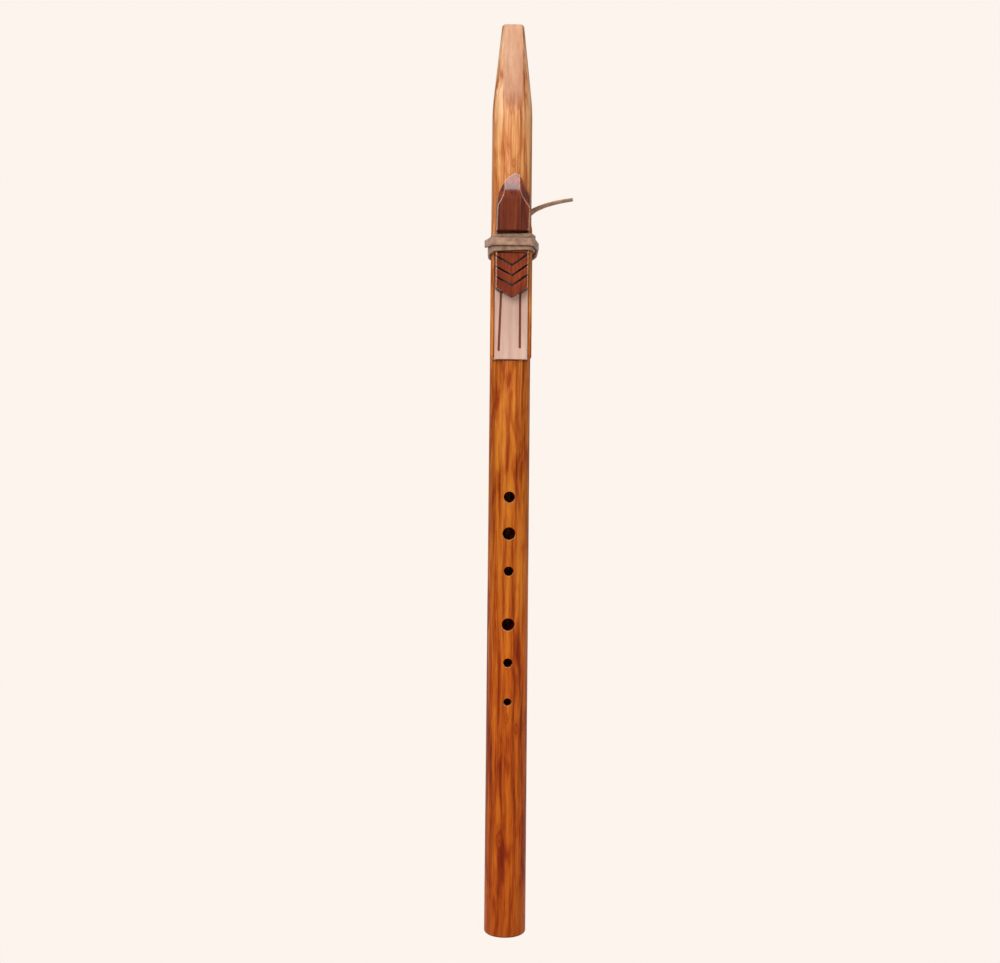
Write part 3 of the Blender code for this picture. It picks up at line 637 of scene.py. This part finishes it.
@dataclass
class TiedBlock:
    """The block that the lace ties down over the windows."""

    def build(self, nodes: dict[str, bpy.types.Object]) -> None:
        """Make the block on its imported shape.

        Args:
            nodes: The frame's nodes by name.
        """
        block = refined(nodes["block"], "tied_block", BLOCK_WOOD.material())
        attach(block, Body.BLOCK.value)
        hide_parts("block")


@dataclass
class Lace:
    """The leather lace: three turns, a knot behind the tube and two free ends."""

    width: float = 5.4 * MM
    thickness: float = 1.8 * MM
    turns: int = 3
    pitch: float = 6.2 * MM
    start_z: float = 477.0 * MM
    gap: float = 0.3 * MM
    layer: float = 2.25 * MM
    climb: tuple[float, float] = (1.78, 1.98)
    tuck: Point = (2.3 * MM, 1.5 * MM, 2.3 * MM)
    tuck_share: float = 0.78
    knot_centre: Point = (0.0, 19.7 * MM, 475.0 * MM)
    knot_half: Point = (4.2 * MM, 5.0 * MM, 3.6 * MM)
    knot_turn: tuple[float, float] = (3.4 * MM, 1.5 * MM)
    end_points: int = 40
    rounds: tuple[Point, ...] = (
        (0.0, 0.0, 14.2 * MM),
        (12.0 * MM, 11.2 * MM, 2.6 * MM),
        (10.8 * MM, 23.2 * MM, 1.0 * MM),
    )
    right_way: tuple[Point, ...] = (
        (6.6, 21.0, 477.4),
        (7.4, 22.4, 483.5),
        (7.8, 22.0, 490.5),
        (8.2, 20.6, 497.5),
        (9.4, 18.4, 504.0),
        (12.0, 15.6, 509.2),
        (15.9, 13.0, 512.2),
        (19.8, 11.4, 514.0),
        (24.0, 10.2, 515.5),
        (30.6, 8.8, 517.3),
        (37.4, 7.8, 518.6),
        (44.0, 7.0, 519.6),
    )
    left_way: tuple[Point, ...] = (
        (-3.4, 20.6, 469.2),
        (-5.0, 21.2, 464.5),
        (-6.4, 20.8, 458.5),
        (-7.4, 19.6, 452.0),
        (-7.8, 18.6, 445.0),
        (-7.6, 18.2, 437.5),
        (-7.2, 18.2, 431.5),
    )
    leather: bpy.types.Material | None = field(default=None, init=False)

    def strip(self, name: str, points: list[Vector], twist: str, tilts: list[float]) -> bpy.types.Object:
        """Lay a flat lace of oblong section along points.

        Args:
            name: The piece's name.
            points: The centre line.
            twist: How the section is kept upright.
            tilts: The section's turn at each point.

        Returns:
            The curve object.
        """
        curve = bpy.data.curves.new(name, "CURVE")
        curve.dimensions = "3D"
        curve.twist_mode = twist
        curve.bevel_depth = self.thickness / 2
        curve.extrude = (self.width - self.thickness) / 2
        curve.bevel_resolution = 3
        curve.use_fill_caps = True
        spline = curve.splines.new("POLY")
        spline.points.add(len(points) - 1)
        spline.use_smooth = True
        for target, point, tilt in zip(spline.points, points, tilts):
            target.co = (*point, 1.0)
            target.tilt = tilt
        curve.materials.append(self.leather)
        return link(name, curve)

    @staticmethod
    def right_tilt(share: float) -> float:
        """Turn the right end's section edge-on, and let it lie over a little towards its tip."""
        return pi / 2 - 0.2 + max(0.0, 0.4 * share - 0.2)

    def half_loop(self) -> list[Point]:
        """List x, h and normal angle over the right half of a turn, back to front."""
        back, shoulder, notch = self.rounds
        low, high = self.lean(back, shoulder), self.lean(shoulder, notch)
        arcs = ((back, -pi / 2, low, 24), (shoulder, low, high, 6), (notch, high, pi / 2, 8))
        stations = [
            (x + r * cos(angle), h + r * sin(angle), angle)
            for (x, h, r), start, end, count in arcs
            for angle in spread(start, end, count)
        ]
        return [*stations, (0.0, notch[1] + notch[2], pi / 2)]

    @staticmethod
    def lean(first: Point, second: Point) -> float:
        """Return the outward normal's angle on the straight run between two rounds."""
        (x1, h1, r1), (x2, h2, r2) = first, second
        return atan2(h2 - h1, x2 - x1) - pi / 2 + asin((r1 - r2) / hypot(x2 - x1, h2 - h1))

    def route(self) -> list[Vector]:
        """Return the winding's centre line: two turns up, then one down over them."""
        right = self.half_loop()
        loop = [(-x, h, pi - angle) for x, h, angle in right] + right[-2:0:-1]
        steps = [dist(a[:2], b[:2]) for a, b in zip(loop, loop[1:] + loop[:1])]
        made = []
        for turn in range(self.turns):
            gone = 0.0
            for (x, h, angle), step in zip(loop, steps):
                at = turn + gone / sum(steps)
                gone += step
                offset = self.gap + self.thickness / 2 + self.layer * smoothstep(*self.climb, at)
                fall = smoothstep(2.0, 2.36, at) + smoothstep(2.62, 3.0, at)
                rise = self.pitch * (min(at, 2.0) - fall)
                x_at, h_at = x + offset * cos(angle), h + offset * sin(angle)
                made.append(Vector((x_at, -h_at, self.start_z + rise)))
        return made[3:-3]

    def build(self) -> None:
        """Make the lace's pieces, with its two free ends."""
        self.leather = LACE_LEATHER.material()
        route = self.route()
        winding = self.strip("lace_turns", route, "Z_UP", [0.0] * len(route))
        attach(winding, Body.BLOCK.value)
        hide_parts("lace_winding")
        knot = self.knot()
        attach(knot, Body.BLOCK.value)
        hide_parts("lace_knot")
        ends = (
            ("lace_free_end_right", self.right_way, "Z_UP", "lace_end_right", self.right_tilt),
            ("lace_free_end_left", self.left_way, "MINIMUM", "lace_end_left", lambda s: 0.4 * s),
        )
        for name, way, twist, node, turn in ends:
            points = smooth_route(way, self.end_points)
            tilts = [turn(share) for share in spread(0.0, 1.0, self.end_points)]
            end = self.strip(name, points, twist, tilts)
            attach(end, Body.BLOCK.value)
            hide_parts(node)

    def knot(self) -> bpy.types.Object:
        """Make the knot: a drawn core, a turn of lace round its waist and a tuck at each free end.

        Returns:
            The knot as one mesh.
        """
        centre = Vector(self.knot_centre)
        swing_r, lace_r = self.knot_turn
        bm = bmesh.new()
        place = Matrix.Translation(centre) @ Matrix.Diagonal((*self.knot_half, 1.0))
        bmesh.ops.create_uvsphere(bm, u_segments=48, v_segments=32, radius=1.0, matrix=place)
        for way in (self.right_way, self.left_way):
            middle = centre.lerp(Vector(way[0]) * MM, self.tuck_share)
            place = Matrix.Translation(middle) @ Matrix.Diagonal((*self.tuck, 1.0))
            bmesh.ops.create_uvsphere(bm, u_segments=32, v_segments=16, radius=1.0, matrix=place)
        ring = bmesh.ops.create_circle(bm, segments=20, radius=lace_r, cap_ends=False)["verts"]
        swung = Matrix.Rotation(0.3, 4, "Y") @ Matrix.Translation((swing_r, 0.0, 0.0))
        bmesh.ops.transform(bm, matrix=Matrix.Translation(centre) @ swung, verts=ring)
        edges = [edge for edge in bm.edges if edge.verts[0] in ring and edge.verts[1] in ring]
        bmesh.ops.spin(
            bm,
            geom=[*ring, *edges],
            cent=centre,
            axis=(0.0, 1.0, 0.0),
            angle=2 * pi,
            steps=48,
            use_merge=True,
        )
        bmesh.ops.recalc_face_normals(bm, faces=bm.faces)
        mesh = bpy.data.meshes.new("lace_knot_core")
        bm.to_mesh(mesh)
        bm.free()
        mesh.shade_smooth()
        mesh.materials.append(self.leather)
        return link("lace_knot_core", mesh)


@dataclass(frozen=True)
class Studio:
    """A pale sheet behind and below the flute, soft lamps and the photograph's camera."""

    background: str = "FCF4ED"
    scale: float = 0.7074 * MM
    distance: float = 0.92
    level: float = 326.2 * MM
    centre_x: float = 509.0
    azimuth: float = radians(1.8)
    lean: float = radians(0.55)
    sensor: float = 36.0
    level_row: float = 470.0
    room: float = 0.42
    floor_half: float = 6.0
    aim: Point = (0.0, 0.0, 0.33)
    lamps: tuple[tuple[str, Point, tuple[float, float], float], ...] = (
        ("key_softbox", (-0.7, -1.6, 1.2), (0.9, 1.2), 25.0),
        ("fill_softbox", (1.1, -1.0, 0.4), (0.4, 1.2), 2.2),
        ("top_softbox", (-0.05, -0.35, 1.7), (0.9, 0.5), 11.0),
    )

    def camera(self) -> None:
        """Place the photograph's camera, square to the flute and level with its middle."""
        data = bpy.data.cameras.new("photo_camera")
        data.sensor_width = self.sensor
        data.lens = self.sensor * self.distance / (PHOTO_WIDTH * self.scale)
        data.shift_y = (self.level_row - PHOTO_HEIGHT / 2) / PHOTO_WIDTH
        data.shift_x = -(self.centre_x - PHOTO_WIDTH / 2) / PHOTO_WIDTH
        data.clip_start = 0.01
        camera = link("photo_camera", data)
        away = Matrix.Rotation(-self.azimuth, 4, "Z") @ Matrix.Translation((0.0, -self.distance, 0.0))
        roll = Matrix.Rotation(self.lean, 4, "Z")
        upright = Matrix.Rotation(pi / 2, 4, "X") @ roll
        camera.matrix_world = Matrix.Translation((0.0, 0.0, self.level)) @ away @ upright
        bpy.context.scene.camera = camera

    def backdrop_material(self) -> bpy.types.Material:
        """Build a pale sheet that looks its own colour to the camera but still takes a shadow.

        Returns:
            The material.
        """
        made = bpy.data.materials.new("paper_backdrop")
        made.use_nodes = True
        tree = made.node_tree
        tree.nodes.clear()
        colour = linear(self.background)
        paper = add_node(tree, "BsdfDiffuse", {"Color": colour})
        glow = add_node(tree, "Emission", {"Color": colour, "Strength": 1.0})
        path = add_node(tree, "LightPath")
        seen = maths(tree, "MAXIMUM", path.outputs["Is Camera Ray"], path.outputs["Is Glossy Ray"])
        seen = maths(tree, "MAXIMUM", seen, path.outputs["Is Transmission Ray"])
        mix = add_node(tree, "MixShader", {0: seen, 1: paper.outputs[0], 2: glow.outputs[0]})
        add_node(tree, "OutputMaterial", {"Surface": mix.outputs[0]})
        return made

    def build(self) -> None:
        """Make the floor, the lamps and the world."""
        scene = bpy.context.scene
        scene.view_settings.view_transform = "Standard"
        bm = bmesh.new()
        bmesh.ops.create_grid(bm, x_segments=1, y_segments=1, size=self.floor_half)
        mesh = bpy.data.meshes.new("floor")
        bm.to_mesh(mesh)
        bm.free()
        mesh.materials.append(self.backdrop_material())
        floor = link("floor", mesh)
        for name, place, size, power in self.lamps:
            data = bpy.data.lights.new(name, "AREA")
            data.shape = "RECTANGLE"
            data.size, data.size_y = size
            data.energy = power
            lamp = link(name, data)
            lamp.location = place
            aim = Vector(self.aim) - Vector(place)
            lamp.rotation_euler = aim.to_track_quat("-Z", "Y").to_euler()
        world = bpy.data.worlds.new("studio")
        world.use_nodes = True
        tree = world.node_tree
        tree.nodes.clear()
        path = add_node(tree, "LightPath")
        seen = maths(tree, "MAXIMUM", path.outputs["Is Camera Ray"], path.outputs["Is Transmission Ray"])
        room = add_node(tree, "Background", {"Color": linear("F4F2F0"), "Strength": self.room})
        sheet = add_node(tree, "Background", {"Color": linear(self.background), "Strength": 1.0})
        mix = add_node(tree, "MixShader", {0: seen, 1: room.outputs[0], 2: sheet.outputs[0]})
        add_node(tree, "OutputWorld", {"Surface": mix.outputs[0]})
        scene.world = world


def main() -> None:
    """Load the frame, then make and dress the flute piece by piece."""
    logging.basicConfig(level=logging.INFO, format="%(name)s: %(message)s")
    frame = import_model()
    studio = Studio()
    studio.camera()
    Lace().build()
    FluteBody().build(frame["nodes"])
    TiedBlock().build(frame["nodes"])
    studio.build()


if __name__ == "__main__":
    main()
